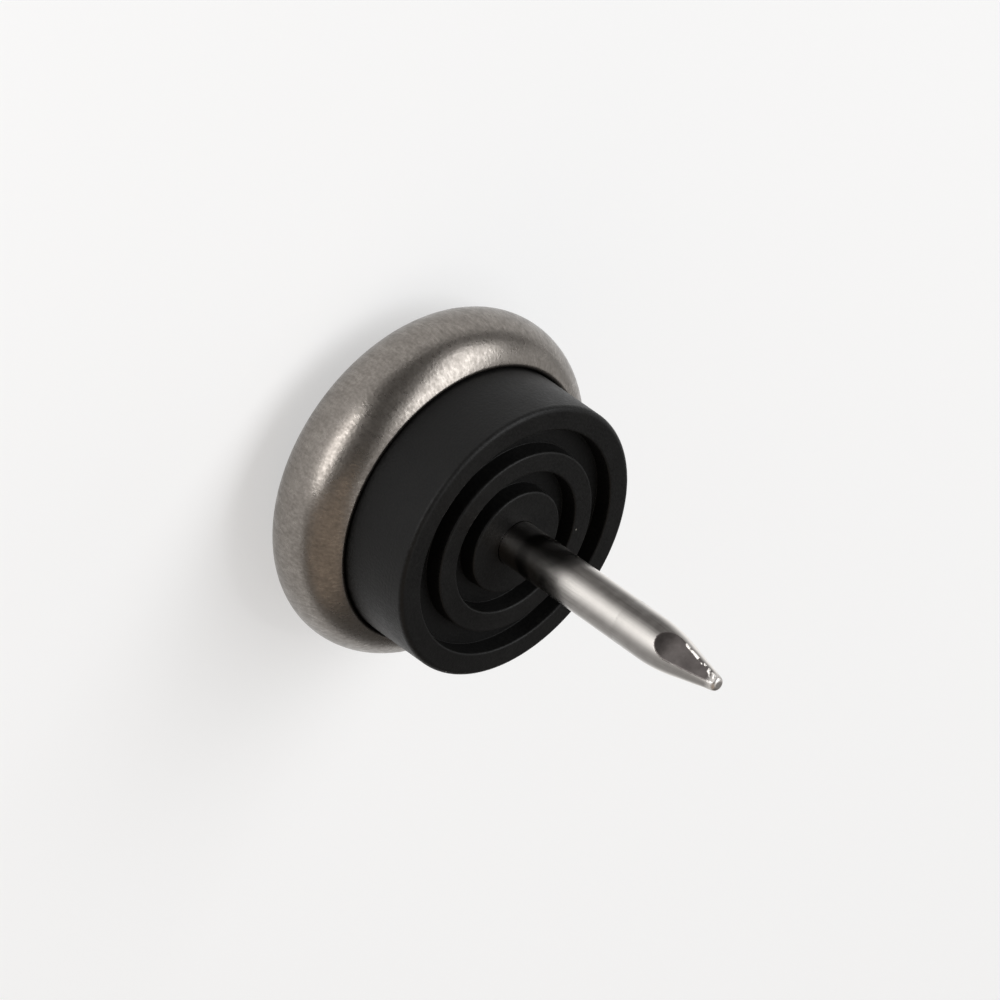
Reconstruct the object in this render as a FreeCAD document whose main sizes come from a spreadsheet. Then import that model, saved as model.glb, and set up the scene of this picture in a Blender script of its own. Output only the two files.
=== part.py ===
"""Nail-on furniture glide: a pressed steel cap, a moulded plastic body and a nail.

The axis is +Z. The dome of the cap touches the floor at the origin, and the nail points up into the leg.
"""

import FreeCAD, Part
import os

import Sketcher

# Driving dimensions, in millimetres, with what each one measures.
SIZES = (
    ("cap_radius", 10.0, "widest radius of the cap"),
    ("cap_sheet", 0.8, "sheet that the cap is pressed from"),
    ("crown_radius", 30.0, "dome that slides on the floor"),
    ("corner_radius", 2.5, "outside bend from the dome to the widest line"),
    ("shoulder_radius", 3.0, "outside bend of the rim rolled in over the flange"),
    ("rim_width", 1.95, "widest line to the opening of the rolled rim"),
    ("lip_edge", 0.2, "rounding of the sheet's cut edge"),
    ("cap_play", 0.05, "gap between the cap's inside and the body"),
    ("lip_gap", 0.05, "gap between the rim's opening and the stem"),
    ("face_height", 10.6, "seating face above the floor"),
    ("stem_taper", 0.02, "how much wider the stem is at its foot"),
    ("stem_edge", 0.3, "rounding of the stem's outer edge"),
    ("land_width", 1.36, "outer land of the seating face"),
    ("outer_channel", 1.28, "width of the outer ring channel"),
    ("ring_width", 1.2, "land between the two ring channels"),
    ("inner_channel", 1.14, "width of the inner ring channel"),
    ("channel_depth", 1.0, "depth of both ring channels"),
    ("channel_taper", 0.06, "how much each channel wall leans in at its floor"),
    ("channel_edge", 0.12, "rounding of the channels' edges"),
    ("nail_radius", 1.275, "shank of the nail"),
    ("nail_fit", 0.02, "gap between the nail and the body"),
    ("nail_reach", 15.6, "tip of the nail above the seating face"),
    ("head_radius", 2.75, "head of the nail"),
    ("head_thickness", 1.1, "head of the nail"),
    ("head_edge", 0.2, "rounding of the head's rim"),
    ("grip_count", 8, "grip rings on the shank inside the body"),
    ("grip_land", 0.2, "plain shank between two grip rings"),
    ("grip_depth", 0.12, "depth of a grip ring"),
    ("taper_length", 3.95, "round taper at the end of the shank"),
    ("taper_blend", 10.0, "rounding from the shank to the taper"),
    ("tip_radius", 0.37, "blunt end of the point"),
    ("tip_edge", 0.25, "rounding of the blunt end"),
    ("facet_count", 2, "flats of the point"),
    ("facet_length", 4.1, "length of a flat, back from the tip to where it runs out on the shank"),
    ("facet_straight", 3.0, "straight part of a flat, back from the tip to its bend"),
    ("facet_tip", 0.36, "distance of a flat from the axis at the tip"),
    ("facet_bend", 0.79, "distance of a flat from the axis at its bend"),
)

# Places that more than one piece takes from the driving dimensions.
LIP_RADIUS = "(Sizes.cap_radius - Sizes.rim_width)"
FOOT_RADIUS = f"({LIP_RADIUS} - Sizes.lip_gap)"
STEM_RADIUS = f"({FOOT_RADIUS} - Sizes.stem_taper)"
OUTER_CHANNEL_OUT = f"({STEM_RADIUS} - Sizes.land_width)"
OUTER_CHANNEL_IN = f"({OUTER_CHANNEL_OUT} - Sizes.outer_channel)"
INNER_CHANNEL_OUT = f"({OUTER_CHANNEL_IN} - Sizes.ring_width)"
INNER_CHANNEL_IN = f"({INNER_CHANNEL_OUT} - Sizes.inner_channel)"
CROWN_TO_CORNER = "(Sizes.crown_radius - Sizes.corner_radius)"
CORNER_CENTRE = "(Sizes.cap_radius - Sizes.corner_radius)"
SHOULDER_CENTRE = "(Sizes.cap_radius - Sizes.shoulder_radius)"
WIDEST_HEIGHT = f"(Sizes.crown_radius - sqrt({CROWN_TO_CORNER}^2 - {CORNER_CENTRE}^2))"
CAP_OUTSIDE = "0"
CAP_INSIDE = "Sizes.cap_sheet"
BODY_OUTSIDE = "(Sizes.cap_sheet + Sizes.cap_play)"
INNER_CROWN = "(Sizes.crown_radius - Sizes.cap_sheet)"
HEAD_FLOOR = f"(Sizes.crown_radius - sqrt({INNER_CROWN}^2 - Sizes.head_radius^2) + Sizes.cap_play)"
HEAD_TOP = f"({HEAD_FLOOR} + Sizes.head_thickness)"
BORE_RADIUS = "(Sizes.nail_radius + Sizes.nail_fit)"
PAST_SHANK = "4 * Sizes.nail_radius"
TIP_HEIGHT = "(Sizes.face_height + Sizes.nail_reach)"
GRIP_PITCH = f"((Sizes.face_height - {HEAD_TOP}) / Sizes.grip_count)"
GRIP_WIDTH = f"({GRIP_PITCH} - Sizes.grip_land)"

START, END, CENTRE = 1, 2, 3
ORIGIN, H_AXIS, V_AXIS = -1, -1, -2
PLACE_TOLERANCE = 1e-4
LEAST_CHANGE = 1e-3


def make_sheet(doc):
    """Writes the driving dimensions to the document's sheet, one named cell each."""
    sheet = doc.addObject("Spreadsheet::Sheet", "Sizes")
    for row, (name, value, meaning) in enumerate(SIZES, start=1):
        sheet.set(f"A{row}", meaning)
        sheet.set(f"B{row}", str(value))
        sheet.setAlias(f"B{row}", name)
    doc.recompute()
    return sheet


def value(doc, expression):
    """Returns the number that an expression of the sheet's sizes gives."""
    return float(doc.Sizes.evalExpression(str(expression)))


def origin_feature(body, role):
    """Returns the body's own origin plane or axis of that role."""
    return next(feature for feature in body.Origin.OriginFeatures if feature.Role == role)


def new_body(doc, label):
    """Adds an empty body whose label names the piece."""
    body = doc.addObject("PartDesign::Body", label)
    body.Label = label
    body.Placement = FreeCAD.Placement()
    return body


def new_sketch(body, name):
    """Adds a sketch on the body's upright XZ plane: x is the radius and y the height."""
    sketch = body.newObject("Sketcher::SketchObject", name)
    sketch.AttachmentSupport = [(origin_feature(body, "XZ_Plane"), "")]
    sketch.MapMode = "FlatFace"
    return sketch


def dimension(sketch, constraint, expression):
    """Adds a dimension to a sketch and ties it to an expression of the sheet's sizes."""
    index = sketch.addConstraint(constraint)
    sketch.setExpression(f"Constraints[{index}]", expression)


def place_point(sketch, edge, end, radius, height):
    """Ties one end of a sketch edge to a radius and a height; 0 is the axis or the floor."""
    for kind, axis, expression in (("DistanceX", V_AXIS, radius), ("DistanceY", H_AXIS, height)):
        if expression == 0:
            sketch.addConstraint(Sketcher.Constraint("PointOnObject", edge, end, axis))
            continue
        number = value(sketch.Document, expression)
        dimension(sketch, Sketcher.Constraint(kind, ORIGIN, START, edge, end, number), expression)


def draw_polygon(sketch, corners):
    """Draws a closed outline of straight edges through corners given as radius and height."""
    doc = sketch.Document
    points = [FreeCAD.Vector(value(doc, r), value(doc, z), 0) for r, z in corners]
    edges = []
    for start, end in zip(points, points[1:] + points[:1]):
        edges.append(sketch.addGeometry(Part.LineSegment(start, end)))
    for edge, following in zip(edges, edges[1:] + edges[:1]):
        sketch.addConstraint(Sketcher.Constraint("Coincident", edge, END, following, START))
    for edge, (radius, height) in zip(edges, corners):
        place_point(sketch, edge, START, radius, height)


def draw_line(sketch, first, first_end, second, second_end):
    """Joins the ends of two sketch edges with a straight line."""
    start = sketch.getPoint(first, first_end)
    end = sketch.getPoint(second, second_end)
    line = sketch.addGeometry(Part.LineSegment(start, end))
    sketch.addConstraint(Sketcher.Constraint("Coincident", line, START, first, first_end))
    sketch.addConstraint(Sketcher.Constraint("Coincident", line, END, second, second_end))
    return line


def draw_arc(sketch, centre, radius, start, end):
    """Draws an anticlockwise arc about a centre between two points that lie on it."""
    normal = FreeCAD.Vector(0, 0, 1)
    circle = Part.Circle(centre, normal, radius)
    return sketch.addGeometry(Part.ArcOfCircle(circle, circle.parameter(start), circle.parameter(end)))


def draw_dome(sketch, inset, end_radius):
    """Draws the crown, corner and shoulder arcs of the dome, a stated distance inside the cap's outside.

    The three arcs are tangent and share their centres with the cap's own, so that shells nest. They run
    from the axis to the given radius on the shoulder, and the crown's and shoulder's edges are returned.
    """
    doc = sketch.Document
    crown, corner, shoulder = (
        f"{name} - {inset}" for name in ("Sizes.crown_radius", "Sizes.corner_radius", "Sizes.shoulder_radius")
    )
    widest = f"Sizes.cap_radius - {inset}"
    crown_r, corner_r, shoulder_r = (value(doc, size) for size in (crown, corner, shoulder))
    widest_height = value(doc, WIDEST_HEIGHT)
    crown_centre = FreeCAD.Vector(0, value(doc, "Sizes.crown_radius"), 0)
    corner_centre = FreeCAD.Vector(value(doc, CORNER_CENTRE), widest_height, 0)
    shoulder_centre = FreeCAD.Vector(value(doc, SHOULDER_CENTRE), widest_height, 0)
    bottom = crown_centre - FreeCAD.Vector(0, crown_r, 0)
    foot = crown_centre + (corner_centre - crown_centre).normalize() * crown_r
    side = FreeCAD.Vector(value(doc, widest), widest_height, 0)
    end_x = value(doc, end_radius)
    climb = (shoulder_r**2 - (end_x - shoulder_centre.x) ** 2) ** 0.5
    top = FreeCAD.Vector(end_x, widest_height + climb, 0)
    crown_arc = draw_arc(sketch, crown_centre, crown_r, bottom, foot)
    corner_arc = draw_arc(sketch, corner_centre, corner_r, foot, side)
    shoulder_arc = draw_arc(sketch, shoulder_centre, shoulder_r, side, top)
    sketch.addConstraint(Sketcher.Constraint("PointOnObject", crown_arc, CENTRE, V_AXIS))
    sketch.addConstraint(Sketcher.Constraint("PointOnObject", crown_arc, START, V_AXIS))
    sketch.addConstraint(Sketcher.Constraint("Tangent", crown_arc, END, corner_arc, START))
    sketch.addConstraint(Sketcher.Constraint("Tangent", corner_arc, END, shoulder_arc, START))
    sketch.addConstraint(Sketcher.Constraint("Horizontal", corner_arc, CENTRE, corner_arc, END))
    centre_height = Sketcher.Constraint("DistanceY", ORIGIN, START, crown_arc, CENTRE, crown_centre.y)
    dimension(sketch, centre_height, "Sizes.crown_radius")
    for arc, radius, size in (
        (crown_arc, crown_r, crown),
        (corner_arc, corner_r, corner),
        (shoulder_arc, shoulder_r, shoulder),
    ):
        dimension(sketch, Sketcher.Constraint("Radius", arc, radius), size)
    dimension(sketch, Sketcher.Constraint("DistanceX", ORIGIN, START, corner_arc, END, side.x), widest)
    dimension(sketch, Sketcher.Constraint("DistanceX", ORIGIN, START, shoulder_arc, END, end_x), end_radius)
    return crown_arc, shoulder_arc


def turn(body, kind, name, sketch):
    """Turns a sketch once round the axis, as a Revolution that adds or a Groove that cuts."""
    feature = body.newObject(f"PartDesign::{kind}", name)
    feature.Profile = sketch
    feature.ReferenceAxis = (sketch, ["V_Axis"])
    feature.Angle = 360
    return finish_feature(body, feature)


def finish_feature(body, feature):
    """Makes a feature the body's last one, and makes sure that a cut took something away."""
    base = body.Tip if body.Tip is not None and body.Tip != feature else feature.BaseFeature
    before = base.Shape.Volume if base is not None else 0.0
    body.Tip = feature
    body.Document.recompute()
    if abs(feature.Shape.Volume - before) < LEAST_CHANGE:
        raise RuntimeError(f"{feature.Name} changed nothing")
    return feature


def round_edges(body, name, size, rings):
    """Rounds the circular edges of the body that lie at the given radii and heights."""
    doc = body.Document
    base = body.Tip
    wanted = [(value(doc, radius), value(doc, height)) for radius, height in rings]
    found = []
    for number, edge in enumerate(base.Shape.Edges, start=1):
        if edge.Degenerated or not isinstance(edge.Curve, Part.Circle):
            continue
        place = (edge.Curve.Radius, edge.Curve.Center.z)
        if any(max(abs(place[0] - r), abs(place[1] - z)) < PLACE_TOLERANCE for r, z in wanted):
            found.append(f"Edge{number}")
    if len(found) != len(wanted):
        raise RuntimeError(f"{name} found {len(found)} edges of {len(wanted)}")
    fillet = body.newObject("PartDesign::Fillet", name)
    fillet.Base = (base, found)
    fillet.setExpression("Radius", size)
    return finish_feature(body, fillet)


def lip_height(inset):
    """Returns, as an expression, the height of the rim's opening that far inside the cap's outside."""
    across = f"({LIP_RADIUS} - Sizes.cap_radius + Sizes.shoulder_radius)"
    return f"({WIDEST_HEIGHT} + sqrt((Sizes.shoulder_radius - {inset})^2 - {across}^2))"


def make_cap(doc):
    """Presses the cap: one sheet, domed, bent up at the corner and rolled in over the flange."""
    body = new_body(doc, "steel_cap")
    sketch = new_sketch(body, "CapSection")
    outer_crown, outer_shoulder = draw_dome(sketch, CAP_OUTSIDE, LIP_RADIUS)
    inner_crown, inner_shoulder = draw_dome(sketch, CAP_INSIDE, LIP_RADIUS)
    draw_line(sketch, outer_shoulder, END, inner_shoulder, END)
    draw_line(sketch, inner_crown, START, outer_crown, START)
    turn(body, "Revolution", "CapShell", sketch)
    lip_edges = [(LIP_RADIUS, lip_height(inset)) for inset in (CAP_OUTSIDE, CAP_INSIDE)]
    round_edges(body, "LipRounding", "Sizes.lip_edge", lip_edges)
    return body


def draw_channel(sketch, outside, inside):
    """Draws the section of one ring channel, whose walls lean in towards its floor."""
    floor = "(Sizes.face_height - Sizes.channel_depth)"
    draw_polygon(
        sketch,
        (
            (outside, "Sizes.face_height"),
            (inside, "Sizes.face_height"),
            (f"{inside} + Sizes.channel_taper", floor),
            (f"{outside} - Sizes.channel_taper", floor),
        ),
    )


def cut_nail_seat(body):
    """Cuts the nail's bore through the body, and the pocket for its head from below."""
    sketch = new_sketch(body, "NailSeatSection")
    head_wall = "(Sizes.head_radius + Sizes.nail_fit)"
    head_roof = f"({HEAD_TOP} + Sizes.nail_fit)"
    draw_polygon(
        sketch,
        (
            (0, 0),
            (head_wall, 0),
            (head_wall, head_roof),
            (BORE_RADIUS, head_roof),
            (BORE_RADIUS, TIP_HEIGHT),
            (0, TIP_HEIGHT),
        ),
    )
    turn(body, "Groove", "NailSeat", sketch)


def make_body(doc):
    """Moulds the body: flange, stem, ring channels in the seating face, and the nail's seat."""
    body = new_body(doc, "plastic_body")
    sketch = new_sketch(body, "BodySection")
    crown, shoulder = draw_dome(sketch, BODY_OUTSIDE, FOOT_RADIUS)
    foot = sketch.getPoint(shoulder, END)
    rim = FreeCAD.Vector(value(doc, STEM_RADIUS), value(doc, "Sizes.face_height"), 0)
    side = sketch.addGeometry(Part.LineSegment(foot, rim))
    face = sketch.addGeometry(Part.LineSegment(rim, FreeCAD.Vector(0, rim.y, 0)))
    sketch.addConstraint(Sketcher.Constraint("Coincident", shoulder, END, side, START))
    sketch.addConstraint(Sketcher.Constraint("Coincident", side, END, face, START))
    sketch.addConstraint(Sketcher.Constraint("Horizontal", face))
    sketch.addConstraint(Sketcher.Constraint("PointOnObject", face, END, V_AXIS))
    place_point(sketch, side, END, STEM_RADIUS, "Sizes.face_height")
    draw_line(sketch, face, END, crown, START)
    turn(body, "Revolution", "BodyForm", sketch)

    channels = (
        ("Outer", OUTER_CHANNEL_OUT, OUTER_CHANNEL_IN),
        ("Inner", INNER_CHANNEL_OUT, INNER_CHANNEL_IN),
    )
    for name, outside, inside in channels:
        section = new_sketch(body, f"{name}ChannelSection")
        draw_channel(section, outside, inside)
        turn(body, "Groove", f"{name}Channel", section)
    cut_nail_seat(body)
    face_edges = [(radius, "Sizes.face_height") for _, *walls in channels for radius in walls]
    round_edges(body, "ChannelRounding", "Sizes.channel_edge", face_edges)
    round_edges(body, "StemRounding", "Sizes.stem_edge", [(STEM_RADIUS, "Sizes.face_height")])
    return body


def cut_grip_rings(body):
    """Cuts the rings by which the body grips the shank, from the seating face down to the head."""
    sketch = new_sketch(body, "GripSection")
    middle = f"(Sizes.face_height - {GRIP_WIDTH} / 2)"
    draw_polygon(
        sketch,
        (
            ("Sizes.nail_radius", "Sizes.face_height"),
            ("Sizes.nail_radius - Sizes.grip_depth", middle),
            ("Sizes.nail_radius", f"Sizes.face_height - {GRIP_WIDTH}"),
            ("Sizes.nail_radius + Sizes.grip_depth", middle),
        ),
    )
    ring = turn(body, "Groove", "GripRing", sketch)
    rings = body.newObject("PartDesign::LinearPattern", "GripRings")
    rings.Originals = [ring]
    rings.Direction = (origin_feature(body, "Z_Axis"), [""])
    rings.Reversed = True
    rings.setExpression("Length", f"{GRIP_PITCH} * (Sizes.grip_count - 1)")
    rings.setExpression("Occurrences", "Sizes.grip_count")
    finish_feature(body, rings)


def draw_facet(sketch):
    """Draws what a flat takes off: straight back from the tip, then a bend that runs out on the shank."""
    doc = sketch.Document
    corners = (
        ("Sizes.nail_radius", f"{TIP_HEIGHT} - Sizes.facet_length"),
        ("Sizes.nail_radius", TIP_HEIGHT),
        ("Sizes.facet_tip", TIP_HEIGHT),
        ("Sizes.facet_bend", f"{TIP_HEIGHT} - Sizes.facet_straight"),
    )
    foot, side, tip, bend = (FreeCAD.Vector(value(doc, r), value(doc, z), 0) for r, z in corners)
    along = (tip - bend).normalize()
    outward = FreeCAD.Vector(along.y, -along.x, 0)
    runout = foot - bend
    bend_radius = runout.dot(runout) / (2 * runout.dot(outward))
    edges = [sketch.addGeometry(Part.LineSegment(*ends)) for ends in ((foot, side), (side, tip), (tip, bend))]
    edges.append(draw_arc(sketch, bend + outward * bend_radius, bend_radius, bend, foot))
    for edge, following in zip(edges, edges[1:] + edges[:1]):
        joint = "Tangent" if following == edges[-1] else "Coincident"
        sketch.addConstraint(Sketcher.Constraint(joint, edge, END, following, START))
    for edge, (radius, height) in zip(edges, corners):
        place_point(sketch, edge, START, radius, height)


def cut_point(body):
    """Cuts the flats of the point, evenly round the axis; the round taper stays between them."""
    sketch = new_sketch(body, "FacetSection")
    draw_facet(sketch)
    facet = body.newObject("PartDesign::Pocket", "Facet")
    facet.Profile = sketch
    facet.SideType = "Symmetric"
    facet.setExpression("Length", PAST_SHANK)
    finish_feature(body, facet)
    facets = body.newObject("PartDesign::PolarPattern", "Facets")
    facets.Originals = [facet]
    facets.Axis = (origin_feature(body, "Z_Axis"), [""])
    facets.Angle = 360
    facets.setExpression("Occurrences", "Sizes.facet_count")
    finish_feature(body, facets)


def make_nail(doc):
    """Forms the nail: head, shank with grip rings inside the body, and the point."""
    body = new_body(doc, "nail")
    sketch = new_sketch(body, "NailSection")
    taper_start = f"({TIP_HEIGHT} - Sizes.taper_length)"
    draw_polygon(
        sketch,
        (
            (0, HEAD_FLOOR),
            ("Sizes.head_radius", HEAD_FLOOR),
            ("Sizes.head_radius", HEAD_TOP),
            ("Sizes.nail_radius", HEAD_TOP),
            ("Sizes.nail_radius", taper_start),
            ("Sizes.tip_radius", TIP_HEIGHT),
            (0, TIP_HEIGHT),
        ),
    )
    turn(body, "Revolution", "NailForm", sketch)
    head_rims = [("Sizes.head_radius", HEAD_FLOOR), ("Sizes.head_radius", HEAD_TOP)]
    round_edges(body, "HeadRounding", "Sizes.head_edge", head_rims)
    round_edges(body, "TipRounding", "Sizes.tip_edge", [("Sizes.tip_radius", TIP_HEIGHT)])
    round_edges(body, "TaperRounding", "Sizes.taper_blend", [("Sizes.nail_radius", taper_start)])
    cut_grip_rings(body)
    cut_point(body)
    return body


def check(doc, pieces):
    """Stops unless every object recomputed and every piece is one valid solid."""
    for thing in doc.Objects:
        if {"Invalid", "Error"} & set(thing.State):
            raise RuntimeError(f"{thing.Name} did not recompute: {thing.State}")
    for piece in pieces:
        shape = piece.Shape
        if shape.isNull() or not shape.isValid() or len(shape.Solids) != 1:
            raise RuntimeError(f"{piece.Label} is not one valid solid")


def main():
    """Builds the glide and writes one file for each piece."""
    doc = FreeCAD.newDocument("furniture_glide")
    make_sheet(doc)
    pieces = [make_cap(doc), make_body(doc), make_nail(doc)]
    doc.recompute()
    check(doc, pieces)
    os.makedirs("parts", exist_ok=True)
    for piece in pieces:
        piece.Shape.exportStep(f"parts/{piece.Label}.step")
        box = piece.Shape.optimalBoundingBox()
        span = f"radius {box.XMax:.3f}, height {box.ZMin:.3f} to {box.ZMax:.3f}"
        print(f"{piece.Label}: {piece.Shape.Volume:.1f} mm3, {span}")


main()
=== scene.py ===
"""Dresses the nail-on furniture glide: satin steel cap, black moulded body and bright wire nail.

Sections are in millimetres, as radius and height in the part's own frame, and so are the sizes in the
finishes. The meshes are in metres.
"""

from __future__ import annotations

import logging
import math
from dataclasses import dataclass, field
from enum import Enum
from typing import Any

import bpy
from mathutils import Matrix, Vector

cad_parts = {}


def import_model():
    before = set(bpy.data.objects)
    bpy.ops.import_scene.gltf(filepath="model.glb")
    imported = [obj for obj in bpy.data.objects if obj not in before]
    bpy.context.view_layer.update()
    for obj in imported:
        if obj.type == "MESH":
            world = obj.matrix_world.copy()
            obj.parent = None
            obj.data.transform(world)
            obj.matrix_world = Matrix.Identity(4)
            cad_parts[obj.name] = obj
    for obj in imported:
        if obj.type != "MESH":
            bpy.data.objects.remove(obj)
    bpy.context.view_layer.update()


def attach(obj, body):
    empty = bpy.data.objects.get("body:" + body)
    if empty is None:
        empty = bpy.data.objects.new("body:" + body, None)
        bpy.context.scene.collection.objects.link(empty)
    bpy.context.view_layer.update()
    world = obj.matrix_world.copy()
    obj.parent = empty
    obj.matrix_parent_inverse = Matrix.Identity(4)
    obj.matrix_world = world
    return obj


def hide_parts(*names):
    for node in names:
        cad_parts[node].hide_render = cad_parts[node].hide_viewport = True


MM = 0.001
HALF = 0.5
BODY = "root"
log = logging.getLogger("glide")

Point = tuple[float, float]
Colour = tuple[float, float, float]
Inputs = dict[str | int, Any]
Socket = bpy.types.NodeSocket
Material = bpy.types.Material
Piece = bpy.types.Object


class Slot(Enum):
    """The record's material slots."""

    SATIN_STEEL = "satin_steel"
    BLACK_PLASTIC = "black_plastic"
    BRIGHT_STEEL = "bright_steel"


class Mask(Enum):
    """Surface attributes that a finish reads."""

    # The flat mask also carries the flats' painted dark reflection, and the torn edge the chips' painted
    # glint.
    FLAT = "die_flat"
    BURR = "torn_edge"
    END = "blunt_end"


class Tint(Enum):
    """Colours of the lamps' light."""

    NEUTRAL = (1.0, 1.0, 1.0)
    COOL = (0.97, 0.985, 1.0)
    WARM = (1.0, 0.8, 0.62)


class Graph:
    """Adds nodes to a node tree and links them."""

    def __init__(self, tree: bpy.types.NodeTree) -> None:
        """Keeps the tree that nodes are added to."""
        self.tree = tree

    def add(self, kind: str, inputs: Inputs | None = None, **settings: Any) -> bpy.types.Node:
        """Adds one node.

        Args:
            kind: The node's type name.
            inputs: A value, or the output socket to link, for each input by name or number.
            settings: The node's own properties.

        Returns:
            The new node.
        """
        node = self.tree.nodes.new(kind)
        for name, setting in settings.items():
            setattr(node, name, setting)
        for key, source in (inputs or {}).items():
            socket = node.inputs[key]
            if isinstance(source, Socket):
                self.tree.links.new(source, socket)
            else:
                socket.default_value = source
        return node

    def math(self, operation: str, *values: Any) -> Socket:
        """Returns the result of a Math node on values or sockets."""
        return self.add("ShaderNodeMath", dict(enumerate(values)), operation=operation).outputs[0]

    def vector(self, operation: str, inputs: Inputs) -> Socket:
        """Returns the vector that a Vector Math node gives."""
        return self.add("ShaderNodeVectorMath", inputs, operation=operation).outputs["Vector"]

    def length(self, vector: Socket) -> Socket:
        """Returns the length of a vector."""
        return self.add("ShaderNodeVectorMath", {0: vector}, operation="LENGTH").outputs["Value"]

    def split(self, vector: Socket) -> Any:
        """Returns the X, Y and Z outputs of a vector."""
        return self.add("ShaderNodeSeparateXYZ", {0: vector}).outputs

    def join(self, **parts: Socket) -> Socket:
        """Returns the vector with the given X, Y and Z, where one that isn't given is 0."""
        return self.add("ShaderNodeCombineXYZ", parts).outputs[0]

    def ramp(self, value: Socket, low: Any, high: Any) -> Socket:
        """Returns a value that climbs from 0 to 1 as the given one goes from low to high."""
        inputs = {"Value": value, "From Min": low, "From Max": high}
        return self.add("ShaderNodeMapRange", inputs).outputs["Result"]

    def between(self, factor: Socket, low: float, high: float) -> Socket:
        """Returns a value that runs from low to high as the factor runs from 0 to 1."""
        inputs = {"Value": factor, "To Min": low, "To Max": high}
        return self.add("ShaderNodeMapRange", inputs).outputs["Result"]

    def share(self, first: Socket, second: Socket, part: float) -> Socket:
        """Returns the mean of two values, in which the first counts for the stated part."""
        rest = self.math("MULTIPLY", second, 1.0 - part)
        return self.math("MULTIPLY_ADD", first, part, rest)

    def blend(self, factor: Socket, first: Socket | Colour, second: Socket | Colour) -> Socket:
        """Mixes two colours.

        Args:
            factor: The share of the second colour.
            first: The first colour, or the socket that gives it.
            second: The second colour, or the socket that gives it.

        Returns:
            The mixed colour.
        """
        node = self.add("ShaderNodeMix", data_type="RGBA")
        wanted = {"Factor_Float": factor, "A_Color": first, "B_Color": second}
        for socket in node.inputs:
            source = wanted.get(socket.identifier)
            if isinstance(source, Socket):
                self.tree.links.new(source, socket)
            elif source is not None:
                socket.default_value = (*source, 1.0)
        return next(socket for socket in node.outputs if socket.identifier == "Result_Color")

    def coordinates(self) -> Socket:
        """Returns the place on the piece, in the part's own frame."""
        return self.add("ShaderNodeTexCoord").outputs["Object"]

    def mask(self, mask: Mask) -> Socket:
        """Returns one of the piece's surface attributes."""
        return self.add("ShaderNodeAttribute", attribute_name=mask.value).outputs["Fac"]

    def effect(self, group: bpy.types.NodeTree, **values: float) -> Socket:
        """Returns the output of a shader node group, placed with a value for each of its inputs."""
        return self.add("ShaderNodeGroup", values, node_tree=group).outputs[0]

    def emboss(self, surface: bpy.types.Node, height: Socket, strength: float, depth: float) -> None:
        """Gives a surface shader a fine relief, whose depth is in millimetres."""
        bump = {"Height": height, "Strength": strength, "Distance": depth * MM}
        self.tree.links.new(self.add("ShaderNodeBump", bump).outputs[0], surface.inputs["Normal"])


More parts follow.
